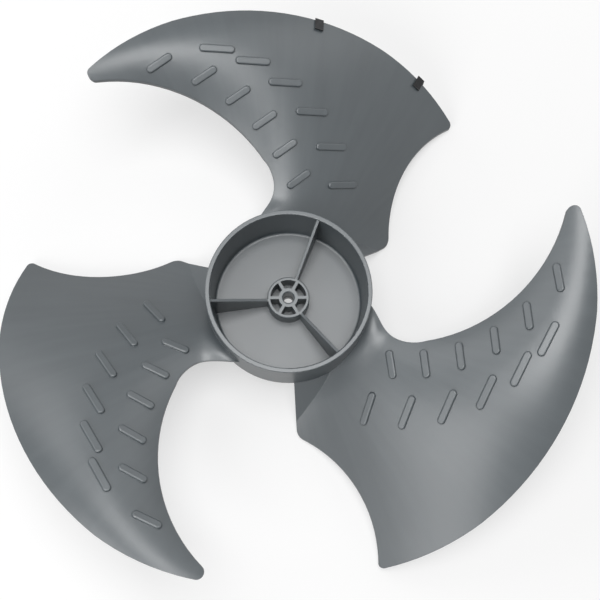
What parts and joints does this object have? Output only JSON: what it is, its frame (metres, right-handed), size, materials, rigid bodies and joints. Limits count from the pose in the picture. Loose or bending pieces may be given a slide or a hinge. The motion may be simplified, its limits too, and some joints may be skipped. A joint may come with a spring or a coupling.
{
  "type": "axial fan impeller",
  "caption": "Moulded axial fan impeller: a cup-shaped hub with a stepped D bore, swept sickle blades with turbulator ridges, and steel balance clips on a tip edge.",
  "frame": {"origin": "on the shaft bore's axis, at the shoulder in the bore where the motor shaft's step seats", "axes": "+Z along the bore axis to the inlet side, where the open cup and the motor are; +X through no feature: the blades' leading tips lie at about 139, 259 and 19 degrees from it"},
  "size_m": [0.4174, 0.4064, 0.1136],
  "materials": {
    "moulding": "satin moulded glass-filled plastic",
    "clip_steel": "blackened spring steel"
  },
  "bodies": {
    "root": {"impeller": "moulding", "balance_clip_1": "clip_steel", "balance_clip_2": "clip_steel"}
  },
  "joints": []
}
